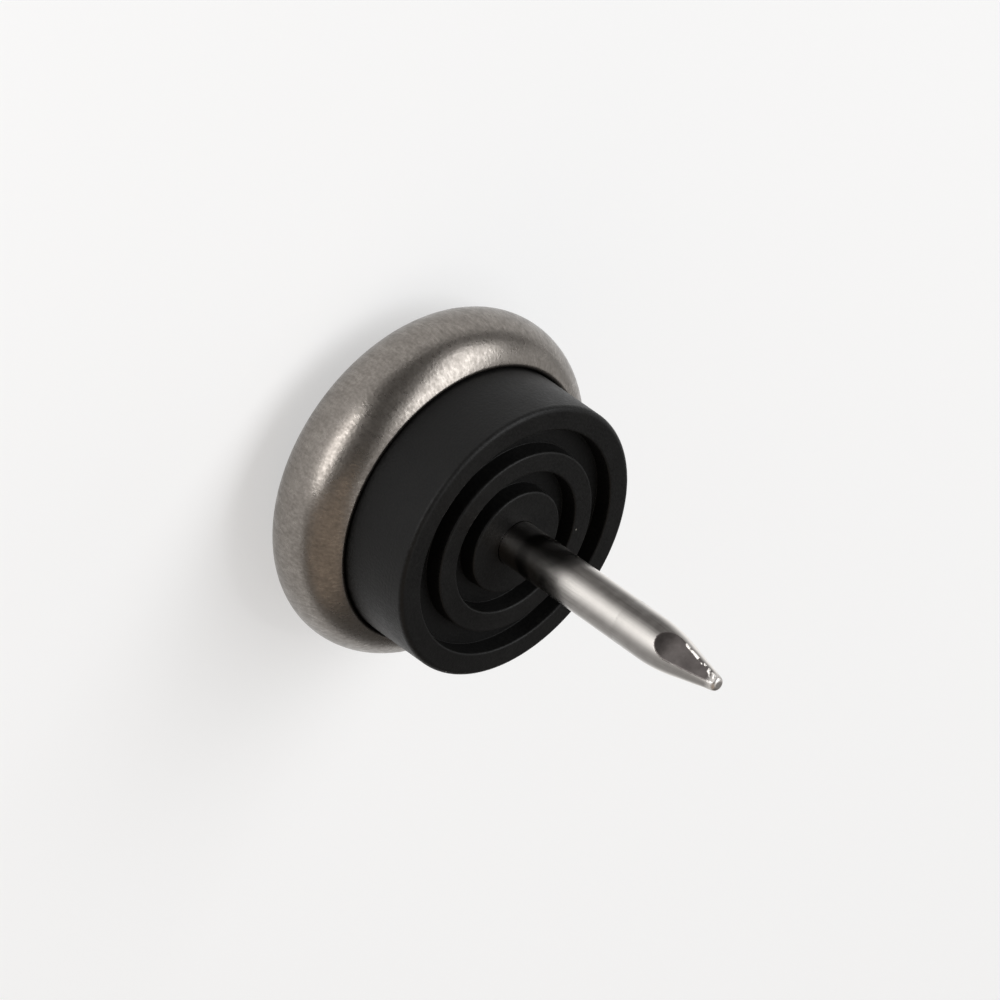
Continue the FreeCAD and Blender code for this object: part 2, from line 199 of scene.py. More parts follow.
class Effects:
    """The shader node groups that the finishes share."""

    STREAK_DETAIL = 3.0

    def __init__(self) -> None:
        """Builds each group once."""
        self.mottle = self._mottle()
        self.streaks = self._streaks()
        self.specks = self._specks()

    @staticmethod
    def _group(name: str, inputs: dict[str, float], output: str) -> Graph:
        """Starts a shader group.

        Args:
            name: The group's name.
            inputs: Its number inputs with their usual values.
            output: The name of its one output.

        Returns:
            A graph on the new group, which already has its input and output nodes.
        """
        tree = bpy.data.node_groups.new(name, "ShaderNodeTree")
        for label, value in inputs.items():
            socket = tree.interface.new_socket(name=label, in_out="INPUT", socket_type="NodeSocketFloat")
            socket.default_value = value
        tree.interface.new_socket(name=output, in_out="OUTPUT", socket_type="NodeSocketFloat")
        graph = Graph(tree)
        graph.add("NodeGroupInput", name="Inputs")
        graph.add("NodeGroupOutput", name="Outputs")
        return graph

    @staticmethod
    def _finish(graph: Graph, result: Socket) -> bpy.types.NodeTree:
        """Links a group's result to its output and returns the group."""
        graph.tree.links.new(result, graph.tree.nodes["Outputs"].inputs[0])
        return graph.tree

    @staticmethod
    def _spread(graph: Graph, noise: bpy.types.Node, contrast: Socket) -> Socket:
        """Spreads the tones of a noise about their middle.

        Args:
            graph: The group's graph.
            noise: The noise node.
            contrast: How many times further apart its tones come to lie.

        Returns:
            The tones, kept between 0 and 1.
        """
        centred = graph.math("SUBTRACT", noise.outputs[0], HALF)
        wide = graph.math("MULTIPLY_ADD", centred, contrast, HALF)
        return graph.add("ShaderNodeClamp", {"Value": wide}).outputs[0]

    def _mottle(self) -> bpy.types.NodeTree:
        """Builds soft even blotches, whose Size is their width in millimetres.

        Returns:
            The group.
        """
        graph = self._group("Mottle", {"Size": 0.3, "Detail": 3.0, "Contrast": 1.5}, "Tone")
        given = graph.tree.nodes["Inputs"].outputs
        scale = graph.math("DIVIDE", 1.0 / MM, given["Size"])
        inputs = {"Vector": graph.coordinates(), "Scale": scale, "Detail": given["Detail"]}
        noise = graph.add("ShaderNodeTexNoise", inputs)
        return self._finish(graph, self._spread(graph, noise, given["Contrast"]))

    def _streaks(self) -> bpy.types.NodeTree:
        """Builds lines on a turned form.

        Around is how many lines lie on one radian, and Along how many breaks a line has in one millimetre of
        the section. The pattern lies on the unit circle, so it has no seam.

        Returns:
            The group.
        """
        graph = self._group("Streaks", {"Around": 60.0, "Along": 1.0, "Contrast": 1.5}, "Tone")
        given = graph.tree.nodes["Inputs"].outputs
        point = graph.split(graph.coordinates())
        flat = graph.join(X=point["X"], Y=point["Y"])
        circle = graph.vector("NORMALIZE", {0: flat})
        turned = graph.vector("SCALE", {0: circle, "Scale": given["Around"]})
        along = graph.math("DIVIDE", graph.math("SUBTRACT", point["Z"], graph.length(flat)), MM)
        rise = graph.join(Z=graph.math("MULTIPLY", along, given["Along"]))
        spot = graph.vector("ADD", {0: turned, 1: rise})
        inputs = {"Vector": spot, "Scale": 1.0, "Detail": self.STREAK_DETAIL}
        noise = graph.add("ShaderNodeTexNoise", inputs)
        return self._finish(graph, self._spread(graph, noise, given["Contrast"]))

    def _specks(self) -> bpy.types.NodeTree:
        """Builds scattered specks.

        Spacing and Size are in millimetres, and Share is how many of the places have a speck.

        Returns:
            The group.
        """
        graph = self._group("Specks", {"Spacing": 1.0, "Size": 0.05, "Share": 0.3}, "Mask")
        given = graph.tree.nodes["Inputs"].outputs
        scale = graph.math("DIVIDE", 1.0 / MM, given["Spacing"])
        inputs = {"Vector": graph.coordinates(), "Scale": scale}
        cells = graph.add("ShaderNodeTexVoronoi", inputs).outputs
        distance = graph.math("MULTIPLY", cells["Distance"], given["Spacing"])
        close = graph.math("LESS_THAN", distance, given["Size"])
        tint = graph.add("ShaderNodeSeparateColor", {0: cells["Color"]}).outputs[0]
        chosen = graph.math("LESS_THAN", tint, given["Share"])
        return self._finish(graph, graph.math("MULTIPLY", close, chosen))


def new_material(slot: Slot) -> tuple[Material, Graph, bpy.types.Node]:
    """Starts a material.

    Args:
        slot: The record's slot that it belongs to.

    Returns:
        The material, a graph on its nodes and its surface shader.
    """
    material = bpy.data.materials.new(slot.value)
    material.use_nodes = True
    return material, Graph(material.node_tree), material.node_tree.nodes["Principled BSDF"]


@dataclass(frozen=True)
class SatinSteel:
    """Tumbled stainless sheet: warm grey, with a fine grain and short streaks from the press."""

    dark: Colour = (0.162, 0.146, 0.13)
    light: Colour = (0.33, 0.303, 0.277)
    smooth: float = 0.22
    dull: float = 0.4
    grain: float = 0.15
    blotch: float = 0.7
    grain_share: float = 0.3
    relief: float = 0.7
    relief_depth: float = 0.006

    def build(self, effects: Effects) -> Material:
        """Makes the cap's material.

        Args:
            effects: The shared node groups.

        Returns:
            The material.
        """
        material, graph, surface = new_material(Slot.SATIN_STEEL)
        blotch = graph.effect(effects.mottle, Size=self.blotch, Detail=4.0, Contrast=1.8)
        grain = graph.effect(effects.mottle, Size=self.grain, Detail=3.0, Contrast=3.4)
        streak = graph.effect(effects.streaks, Around=55.0, Along=2.2, Contrast=3.0)
        worn = graph.share(streak, blotch, HALF)
        tone = graph.share(grain, worn, self.grain_share)
        links = graph.tree.links
        links.new(graph.blend(tone, self.dark, self.light), surface.inputs["Base Color"])
        links.new(graph.between(worn, self.dull, self.smooth), surface.inputs["Roughness"])
        surface.inputs["Metallic"].default_value = 1.0
        graph.emboss(surface, graph.share(streak, grain, HALF), self.relief, self.relief_depth)
        return material


@dataclass(frozen=True)
class BlackPlastic:
    """Satin moulded plastic: near black, with a fine spark texture, faint flow lines and a little dust."""

    deep: Colour = (0.003, 0.003, 0.003)
    worn: Colour = (0.0075, 0.0073, 0.007)
    dust: Colour = (0.22, 0.21, 0.18)
    smooth: float = 0.38
    dull: float = 0.54
    gloss: float = 0.19
    grain: float = 0.16
    blotch: float = 1.4
    flow_share: float = 0.4
    speck_spacing: float = 1.7
    speck_size: float = 0.05
    speck_share: float = 0.3
    relief: float = 0.8
    relief_depth: float = 0.014

    def build(self, effects: Effects) -> Material:
        """Makes the moulded body's material.

        Args:
            effects: The shared node groups.

        Returns:
            The material.
        """
        material, graph, surface = new_material(Slot.BLACK_PLASTIC)
        blotch = graph.effect(effects.mottle, Size=self.blotch, Detail=4.0, Contrast=1.8)
        grain = graph.effect(effects.mottle, Size=self.grain, Detail=3.0, Contrast=3.2)
        flow = graph.effect(effects.streaks, Around=2.0, Along=9.0, Contrast=1.6)
        scatter = {"Spacing": self.speck_spacing, "Size": self.speck_size, "Share": self.speck_share}
        speck = graph.effect(effects.specks, **scatter)
        worn = graph.share(blotch, grain, HALF)
        base = graph.blend(worn, self.deep, self.worn)
        links = graph.tree.links
        links.new(graph.blend(speck, base, self.dust), surface.inputs["Base Color"])
        links.new(graph.between(worn, self.smooth, self.dull), surface.inputs["Roughness"])
        surface.inputs["Specular IOR Level"].default_value = self.gloss
        graph.emboss(surface, graph.share(flow, grain, self.flow_share), self.relief, self.relief_depth)
        return material


@dataclass(frozen=True)
class BrightSteel:
    """Bright drawn wire: painted reflections as light and dark bands along the shank, fine lines, duller
    flats from the dies that are painted dark, and chips painted bright as glints.
    """

    # dark and light are the ends of the painted reflection bands on the shank: a painted dark reflection and
    # a painted highlight.
    dark: Colour = (0.06, 0.054, 0.05)
    light: Colour = (0.97, 0.93, 0.885)
    # The flats' colours are a painted dark reflection, much darker than cut steel.
    flat_painted_dark: Colour = (0.085, 0.075, 0.072)
    flat_painted_light: Colour = (0.15, 0.135, 0.13)
    end: Colour = (0.6, 0.575, 0.55)
    smooth: float = 0.12
    dull: float = 0.24
    flat_dull: float = 0.4
    grain: float = 0.06
    blotch: float = 0.5
    # The bands and sides below are painted reflections, turned to set directions round the wire.
    bands: float = 4.0
    painted_band_turn: float = 19.0
    painted_band_power: float = 2.0
    painted_band_share: float = 0.8
    sides: float = 2.0
    painted_side_turn: float = 66.0
    painted_side_share: float = 0.075
    line_share: float = 0.12
    # The torn chips are painted bright as a glint between these burr shares.
    torn_glint_from: float = 0.1
    torn_glint_to: float = 0.3
    relief: float = 0.2
    relief_depth: float = 0.004

    def _painted_reflections(self, graph: Graph) -> Socket:
        """Paints reflections as bands along the wire: narrow light and dark ones, and two broad sides painted
        lighter and darker.

        Args:
            graph: The material's graph.

        Returns:
            The bands' tone.
        """
        point = graph.split(graph.coordinates())
        angle = graph.math("ARCTAN2", point["Y"], point["X"])
        turned = graph.math("SUBTRACT", angle, math.radians(self.painted_band_turn))
        wave = graph.math("COSINE", graph.math("MULTIPLY", turned, self.bands))
        narrow = graph.math("POWER", graph.math("MULTIPLY_ADD", wave, HALF, HALF), self.painted_band_power)
        across = graph.math("SUBTRACT", angle, math.radians(self.painted_side_turn))
        side = graph.math("COSINE", graph.math("MULTIPLY", across, self.sides))
        broad = graph.math("MULTIPLY_ADD", side, self.painted_side_share, self.painted_side_share)
        return graph.math("MULTIPLY_ADD", narrow, self.painted_band_share, broad)

    def build(self, effects: Effects) -> Material:
        """Makes the nail's material.

        Args:
            effects: The shared node groups.

        Returns:
            The material.
        """
        material, graph, surface = new_material(Slot.BRIGHT_STEEL)
        blotch = graph.effect(effects.mottle, Size=self.blotch, Detail=4.0, Contrast=1.8)
        grain = graph.effect(effects.mottle, Size=self.grain, Detail=2.0, Contrast=2.0)
        drawn = graph.effect(effects.streaks, Around=16.0, Along=0.25, Contrast=2.0)
        flat = graph.mask(Mask.FLAT)
        end = graph.mask(Mask.END)
        torn = graph.ramp(graph.mask(Mask.BURR), self.torn_glint_from, self.torn_glint_to)
        tone = graph.share(drawn, blotch, HALF)
        # The painted reflection bands are laid over the real drawn lines and blotches here.
        mixed = graph.math("MULTIPLY_ADD", tone, self.line_share, self._painted_reflections(graph))
        shank = graph.blend(mixed, self.dark, self.light)
        # The flats get a painted dark reflection in place of the steel's colour.
        pressed = graph.blend(blotch, self.flat_painted_dark, self.flat_painted_light)
        cut = graph.blend(end, graph.blend(flat, shank, pressed), self.end)
        links = graph.tree.links
        # The torn chips are painted with the light colour as a glint.
        links.new(graph.blend(torn, cut, self.light), surface.inputs["Base Color"])
        sheen = graph.between(tone, self.dull, self.smooth)
        dulled = graph.math("MAXIMUM", flat, end)
        rough = graph.math("MULTIPLY_ADD", dulled, graph.math("SUBTRACT", self.flat_dull, sheen), sheen)
        links.new(rough, surface.inputs["Roughness"])
        surface.inputs["Metallic"].default_value = 1.0
        graph.emboss(surface, graph.share(drawn, grain, HALF), self.relief, self.relief_depth)
        return material


def arc(centre: Point, radius: float, start: float, end: float, step: float) -> list[Point]:
    """Samples an arc of a section.

    Args:
        centre: Its centre, as radius and height.
        radius: Its own radius.
        start: Its first direction, in degrees from outwards towards up.
        end: Its last direction.
        step: About how many degrees lie between two points.

    Returns:
        The points in order, both ends included.
    """
    count = max(2, math.ceil(abs(end - start) / step))
    turns = (math.radians(start + (end - start) * i / count) for i in range(count + 1))
    return [(centre[0] + radius * math.cos(turn), centre[1] + radius * math.sin(turn)) for turn in turns]


def hold(section: list[Point], gap: float = 0.03, least: float = 8.0) -> list[Point]:
    """Adds a point close to each end of the long straight stretches, so that only the roundings shade round.

    Args:
        section: The points of a section.
        gap: How far from the ends the new points lie.
        least: How many gaps long a stretch is that gets them.

    Returns:
        The section with the added points.
    """
    held = [section[0]]
    for (r0, z0), (r1, z1) in zip(section, section[1:]):
        length = math.hypot(r1 - r0, z1 - z0)
        if length > least * gap:
            share = gap / length
            held.append((r0 + (r1 - r0) * share, z0 + (z1 - z0) * share))
            held.append((r1 + (r0 - r1) * share, z1 + (z0 - z1) * share))
        if length > 0:
            held.append((r1, z1))
    return held


class Lathe:
    """Turns sections into closed meshes, and cuts the flats of a point, with Geometry Nodes."""

    MERGE = 1e-7
    CHIP_DETAIL = 1.0
    CHIP_FROM = 0.46
    CHIP_TO = 0.58

    def __init__(self) -> None:
        """Builds the two trees once."""
        self.turning = self._turning()
        self.flats = self._flats()

    @staticmethod
    def _tree(name: str, numbers: dict[str, str]) -> Graph:
        """Starts a tree that takes a geometry and named numbers and gives a geometry.

        Args:
            name: The tree's name.
            numbers: The socket type of each named input.

        Returns:
            A graph on the new tree.
        """
        tree = bpy.data.node_groups.new(name, "GeometryNodeTree")
        tree.interface.new_socket(name="Geometry", in_out="INPUT", socket_type="NodeSocketGeometry")
        for label, kind in numbers.items():
            tree.interface.new_socket(name=label, in_out="INPUT", socket_type=kind)
        tree.interface.new_socket(name="Geometry", in_out="OUTPUT", socket_type="NodeSocketGeometry")
        return Graph(tree)

    @staticmethod
    def _end(graph: Graph, geometry: Socket, finish: Socket) -> bpy.types.NodeTree:
        """Ends a tree with its realized geometry in a material.

        Args:
            graph: The tree's graph.
            geometry: What the tree made.
            finish: The material.

        Returns:
            The tree.
        """
        real = graph.add("GeometryNodeRealizeInstances", {"Geometry": geometry}).outputs[0]
        dressed = graph.add("GeometryNodeSetMaterial", {"Geometry": real, "Material": finish}).outputs[0]
        graph.add("NodeGroupOutput", {0: dressed})
        return graph.tree

    def _turning(self) -> bpy.types.NodeTree:
        """Builds the tree that turns a section, given as a row of points, once round the axis.

        Returns:
            The tree.
        """
        graph = self._tree("Turned form", {"Segments": "NodeSocketInt", "Finish": "NodeSocketMaterial"})
        given = graph.add("NodeGroupInput").outputs
        count = graph.add("GeometryNodeAttributeDomainSize", {0: given["Geometry"]}).outputs["Point Count"]
        columns = graph.math("ADD", given["Segments"], 1.0)
        grid = graph.add("GeometryNodeMeshGrid", {"Vertices X": columns, "Vertices Y": count}).outputs["Mesh"]
        index = graph.add("GeometryNodeInputIndex").outputs[0]
        row = graph.math("MODULO", index, count)
        column = graph.math("FLOOR", graph.math("DIVIDE", index, count))
        turn = graph.math("MULTIPLY", graph.math("DIVIDE", column, given["Segments"]), math.tau)
        position = graph.add("GeometryNodeInputPosition").outputs[0]
        picked = {"Geometry": given["Geometry"], "Value": position, "Index": row}
        sample = graph.add("GeometryNodeSampleIndex", picked, data_type="FLOAT_VECTOR").outputs[0]
        point = graph.split(sample)
        x = graph.math("MULTIPLY", point["X"], graph.math("COSINE", turn))
        y = graph.math("MULTIPLY", point["X"], graph.math("SINE", turn))
        spot = graph.join(X=x, Y=y, Z=point["Z"])
        turned = graph.add("GeometryNodeSetPosition", {"Geometry": grid, "Position": spot}).outputs[0]
        merge = {"Geometry": turned, "Distance": self.MERGE}
        closed = graph.add("GeometryNodeMergeByDistance", merge).outputs[0]
        smooth = graph.add("GeometryNodeSetShadeSmooth", {"Geometry": closed}).outputs[0]
        return self._end(graph, smooth, given["Finish"])

    def _flats(self) -> bpy.types.NodeTree:
        """Builds the tree that presses flats into the end of a turned form, evenly round the axis.

        Torn metal stands up along one edge of each flat, and the nail's finish paints its chips bright as a
        glint.

        Returns:
            The tree.
        """
        names = ("Flats", "Start height", "Start distance", "Slope", "Centre height", "Centre distance")
        names += ("Bend radius", "End height", "Burr height", "Burr width", "Burr size")
        numbers = dict.fromkeys(names, "NodeSocketFloat")
        graph = self._tree("Die flats", numbers | {"Finish": "NodeSocketMaterial"})
        given = graph.add("NodeGroupInput").outputs
        point = graph.split(graph.add("GeometryNodeInputPosition").outputs[0])
        flat = graph.join(X=point["X"], Y=point["Y"])
        radius = graph.length(flat)
        half = graph.math("DIVIDE", math.pi, given["Flats"])
        angle = graph.math("ARCTAN2", point["Y"], point["X"])
        aside = graph.math("WRAP", angle, half, graph.math("MULTIPLY", half, -1.0))
        facing = graph.math("MAXIMUM", graph.math("COSINE", aside), self.MERGE)
        reach = graph.math("DIVIDE", self._plane(graph, given, point["Z"]), facing)
        size = graph.math("MAXIMUM", radius, self.MERGE)
        keep = graph.math("MINIMUM", graph.math("DIVIDE", reach, size), 1.0)
        burr = self._burr(graph, given, reach, radius, aside)
        torn = graph.math("DIVIDE", graph.math("MULTIPLY", burr, given["Burr height"]), size)
        shrunk = graph.vector("SCALE", {0: flat, "Scale": graph.math("ADD", keep, torn)})
        spot = graph.vector("ADD", {0: shrunk, 1: graph.join(Z=point["Z"])})
        wide = graph.math("MULTIPLY_ADD", given["Burr width"], HALF, radius)
        fade = graph.math("SUBTRACT", given["End height"], given["Burr size"])
        masks = {
            Mask.FLAT: graph.math("LESS_THAN", reach, wide),
            Mask.BURR: burr,
            Mask.END: graph.ramp(point["Z"], fade, given["End height"]),
        }
        geometry = given["Geometry"]
        for mask, share in masks.items():
            stored = {"Geometry": geometry, "Name": mask.value, "Value": share}
            store = graph.add("GeometryNodeStoreNamedAttribute", stored, data_type="FLOAT", domain="POINT")
            geometry = store.outputs[0]
        shaped = graph.add("GeometryNodeSetPosition", {"Geometry": geometry, "Position": spot}).outputs[0]
        return self._end(graph, shaped, given["Finish"])

    @staticmethod
    def _plane(graph: Graph, given: Any, height: Socket) -> Socket:
        """Works out how far a flat lies from the axis: straight above its start, bent out to the shank below.

        Args:
            graph: The graph of the flats' tree.
            given: The tree's inputs.
            height: The height of a point.

        Returns:
            The distance at that height.
        """
        climb = graph.math("SUBTRACT", height, given["Start height"])
        line = graph.math("SUBTRACT", given["Start distance"], graph.math("MULTIPLY", climb, given["Slope"]))
        drop = graph.math("SUBTRACT", height, given["Centre height"])
        square = graph.math("MULTIPLY", given["Bend radius"], given["Bend radius"])
        left = graph.math("SUBTRACT", square, graph.math("MULTIPLY", drop, drop))
        depth = graph.math("SQRT", graph.math("MAXIMUM", left, 0.0))
        bend = graph.math("SUBTRACT", given["Centre distance"], depth)
        low = graph.math("LESS_THAN", climb, 0.0)
        return graph.math("MULTIPLY_ADD", low, graph.math("SUBTRACT", bend, line), line)

    def _burr(self, graph: Graph, given: Any, reach: Socket, radius: Socket, aside: Socket) -> Socket:
        """Spreads broken chips along one edge of each flat.

        Args:
            graph: The graph of the flats' tree.
            given: The tree's inputs.
            reach: The distance of the flat from the axis in a point's direction.
            radius: The point's own distance from the axis.
            aside: The angle from the middle of the flat.

        Returns:
            How much of the burr's full height a point has.
        """
        gap = graph.math("ABSOLUTE", graph.math("SUBTRACT", reach, radius))
        away = graph.math("MINIMUM", graph.math("DIVIDE", gap, given["Burr width"]), 1.0)
        position = graph.add("GeometryNodeInputPosition").outputs[0]
        height = graph.split(position)["Z"]
        above = graph.math("GREATER_THAN", height, given["Start height"])
        straight = graph.math("MULTIPLY", above, graph.math("LESS_THAN", height, given["End height"]))
        scale = graph.math("DIVIDE", 1.0, given["Burr size"])
        inputs = {"Vector": position, "Scale": scale, "Detail": self.CHIP_DETAIL}
        noise = graph.add("ShaderNodeTexNoise", inputs).outputs[0]
        chips = graph.ramp(noise, self.CHIP_FROM, self.CHIP_TO)
        side = graph.math("MULTIPLY", graph.math("LESS_THAN", aside, 0.0), straight)
        edge = graph.math("MULTIPLY", side, chips)
        return graph.math("MULTIPLY", graph.math("SUBTRACT", 1.0, away), edge)

    @staticmethod
    def _apply(piece: Piece, tree: bpy.types.NodeTree, values: dict[str, Any]) -> None:
        """Runs a tree on a piece and keeps the result as its plain mesh.

        Args:
            piece: The object whose mesh the tree takes.
            tree: One of the lathe's trees.
            values: A value for each named input of the tree.
        """
        modifier = piece.modifiers.new(tree.name, "NODES")
        modifier.node_group = tree
        for item in tree.interface.items_tree:
            if item.in_out == "INPUT" and item.name in values:
                modifier[item.identifier] = values[item.name]
        evaluated = piece.evaluated_get(bpy.context.evaluated_depsgraph_get())
        mesh = bpy.data.meshes.new_from_object(evaluated)
        piece.modifiers.clear()
        piece.data = mesh

    def turn(self, name: str, section: list[Point], segments: int, finish: Material) -> Piece:
        """Makes a turned piece.

        Args:
            name: The piece's name.
            section: Its section, anticlockwise round the material.
            segments: How many faces lie on one ring.
            finish: Its material.

        Returns:
            The piece, with a plain mesh.
        """
        mesh = bpy.data.meshes.new(f"{name}_section")
        points = [(radius * MM, 0.0, height * MM) for radius, height in section]
        mesh.from_pydata(points, [(i, i + 1) for i in range(len(points) - 1)], [])
        piece = bpy.data.objects.new(name, mesh)
        bpy.context.scene.collection.objects.link(piece)
        self._apply(piece, self.turning, {"Segments": segments, "Finish": finish})
        return piece

    def cut_flats(self, piece: Piece, values: dict[str, Any]) -> None:
        """Cuts the flats of a point into a turned piece, with a value for each named input of the tree."""
        self._apply(piece, self.flats, values)


def place(piece: Piece, node: str) -> None:
    """Lets a piece ride with the part and stand for its CAD node.

    Args:
        piece: The finished piece.
        node: The CAD node that it shows in place of.
    """
    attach(piece, BODY)
    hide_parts(node)
    log.info("%s: %d faces", piece.name, len(piece.data.polygons))


@dataclass
class Dome:
    """The three tangent arcs that the cap and the flange inside it share."""

    cap_radius: float = 10.0
    crown_radius: float = 30.0
    corner_radius: float = 2.5
    shoulder_radius: float = 3.0
    crown_step: float = 0.75
    corner_step: float = 4.0
    shoulder_step: float = 3.0

    @property
    def widest_height(self) -> float:
        """The height of the cap's widest line."""
        reach = self.crown_radius - self.corner_radius
        return self.crown_radius - math.sqrt(reach**2 - (self.cap_radius - self.corner_radius) ** 2)

    @property
    def shoulder_centre(self) -> Point:
        """The middle of the rolled rim's bend."""
        return self.cap_radius - self.shoulder_radius, self.widest_height

    def outline(self, inset: float, start_radius: float, end_angle: float) -> list[Point]:
        """Draws the dome a stated distance inside the cap's outside.

        Args:
            inset: The distance from the cap's outside.
            start_radius: Where it starts on the crown.
            end_angle: Where it ends on the shoulder, in degrees above the widest line.

        Returns:
            The points from the crown to the shoulder.
        """
        crown = self.crown_radius - inset
        corner = self.corner_radius - inset
        shoulder = self.shoulder_radius - inset
        corner_centre = (self.cap_radius - self.corner_radius, self.widest_height)
        foot = math.degrees(math.atan2(self.widest_height - self.crown_radius, corner_centre[0]))
        start = -math.degrees(math.acos(start_radius / crown))
        points = arc((0.0, self.crown_radius), crown, start, foot, self.crown_step)
        points += arc(corner_centre, corner, foot, 0.0, self.corner_step)[1:]
        points += arc(self.shoulder_centre, shoulder, 0.0, end_angle, self.shoulder_step)[1:]
        return points


@dataclass
class SteelCap:
    """The pressed cap: one sheet, domed, with its rim rolled in over the flange of the body."""

    dome: Dome = field(default_factory=Dome)
    sheet: float = 0.8
    rim_width: float = 1.95
    lip_edge: float = 0.2
    lip_step: float = 8.0
    segments: int = 288

    def section(self) -> list[Point]:
        """Draws the shell's section.

        Returns:
            The points from the axis over the outside and back on the inside.
        """
        middle, height = self.dome.shoulder_centre
        opening = self.dome.cap_radius - self.rim_width
        edge_centre = opening + self.lip_edge
        across = edge_centre - middle
        outer = self.dome.shoulder_radius - self.lip_edge
        inner = self.dome.shoulder_radius - self.sheet + self.lip_edge
        outer_turn = math.degrees(math.acos(across / outer))
        inner_turn = math.degrees(math.acos(across / inner))
        outer_edge = (edge_centre, height + math.sqrt(outer**2 - across**2))
        inner_edge = (edge_centre, height + math.sqrt(inner**2 - across**2))
        outside = self.dome.outline(0.0, 0.0, outer_turn)
        lip = arc(outer_edge, self.lip_edge, outer_turn, 180.0, self.lip_step)[1:]
        lip += arc(inner_edge, self.lip_edge, 180.0, 180.0 + inner_turn, self.lip_step)
        inside = self.dome.outline(self.sheet, 0.0, inner_turn)
        return hold(outside + lip + inside[::-1][1:])

    def build(self, lathe: Lathe, finish: Material) -> None:
        """Turns the cap and places it."""
        piece = lathe.turn("cap_shell", self.section(), self.segments, finish)
        place(piece, "steel_cap")


@dataclass
class PlasticBody:
    """The moulded body: flange, tapered stem, two ring channels in its end face, and the nail's seat."""

    dome: Dome = field(default_factory=Dome)
    inset: float = 0.85
    foot_radius: float = 8.0
    stem_radius: float = 7.98
    stem_edge: float = 0.3
    stem_step: float = 9.0
    face_height: float = 10.6
    channels: tuple[Point, Point] = ((6.62, 5.34), (4.14, 3.0))
    channel_depth: float = 1.0
    channel_taper: float = 0.06
    channel_edge: float = 0.12
    channel_step: float = 15.0
    bore_radius: float = 1.295
    pocket_radius: float = 2.77
    pocket_height: float = 2.1
    segments: int = 256

    def _channel(self, outside: float, inside: float) -> list[Point]:
        """Draws one ring channel.

        Args:
            outside: The radius of its outer wall at the face.
            inside: The radius of its inner wall at the face.

        Returns:
            The points from its outer edge to its inner one.
        """
        edge = self.channel_edge
        rim = self.face_height - edge
        floor = self.face_height - self.channel_depth
        lean = math.degrees(math.atan2(self.channel_taper, self.channel_depth))
        points = arc((outside + edge, rim), edge, 90.0, 180.0 + lean, self.channel_step)
        points += [(outside - self.channel_taper, floor), (inside + self.channel_taper, floor)]
        return points + arc((inside - edge, rim), edge, -lean, 90.0, self.channel_step)

    def section(self) -> list[Point]:
        """Draws the body's section.

        Returns:
            The points of a loop from the pocket of the nail's head round to itself.
        """
        middle, _ = self.dome.shoulder_centre
        shoulder = self.dome.shoulder_radius - self.inset
        end_angle = math.degrees(math.acos((self.foot_radius - middle) / shoulder))
        points = self.dome.outline(self.inset, self.pocket_radius, end_angle)
        edge = (self.stem_radius - self.stem_edge, self.face_height - self.stem_edge)
        points += arc(edge, self.stem_edge, 0.0, 90.0, self.stem_step)
        for outside, inside in self.channels:
            points += self._channel(outside, inside)
        points += [(self.bore_radius, self.face_height), (self.bore_radius, self.pocket_height)]
        points += [(self.pocket_radius, self.pocket_height), points[0]]
        return hold(points)

    def build(self, lathe: Lathe, finish: Material) -> None:
        """Turns the body and places it."""
        piece = lathe.turn("moulded_body", self.section(), self.segments, finish)
        place(piece, "plastic_body")


